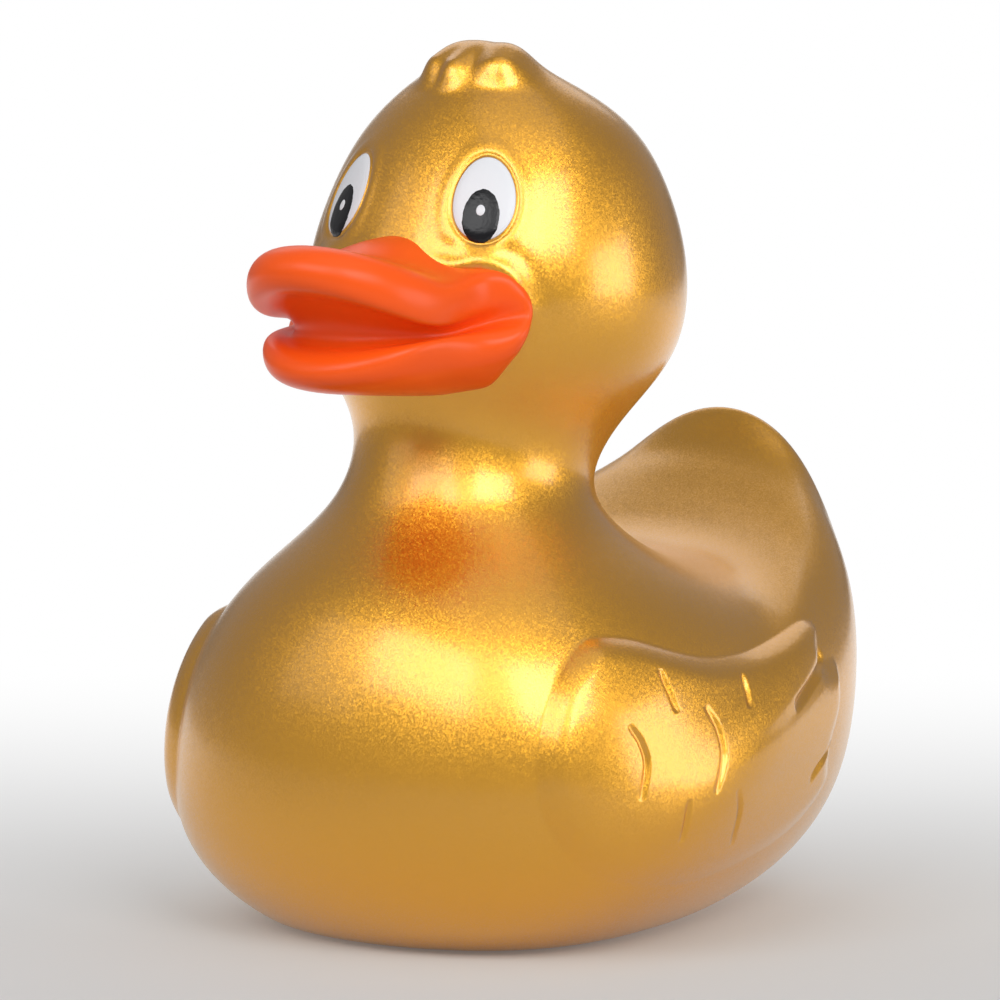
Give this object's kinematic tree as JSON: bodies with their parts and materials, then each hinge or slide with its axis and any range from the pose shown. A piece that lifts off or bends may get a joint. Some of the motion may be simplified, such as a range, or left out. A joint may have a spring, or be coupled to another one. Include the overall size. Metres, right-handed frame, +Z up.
{
  "type": "bath duck",
  "caption": "Hollow moulded vinyl bath duck with a raised tail, folded wings, a small crest and an open orange bill, standing on a flat base.",
  "frame": {"origin": "centre of the bounding box's footprint, on the flat base", "axes": "+Z up; the bill faces -Y, the tail is at +Y and the duck's left side is at +X"},
  "size_m": [0.0608, 0.0724, 0.0829],
  "materials": {
    "gold_paint": "satin metallic paint with fine flake",
    "orange_paint": "semi-gloss",
    "eye_white": "semi-gloss",
    "eye_black": "gloss, slightly rough"
  },
  "bodies": {
    "root": {"duck": "gold_paint"}
  },
  "joints": []
}
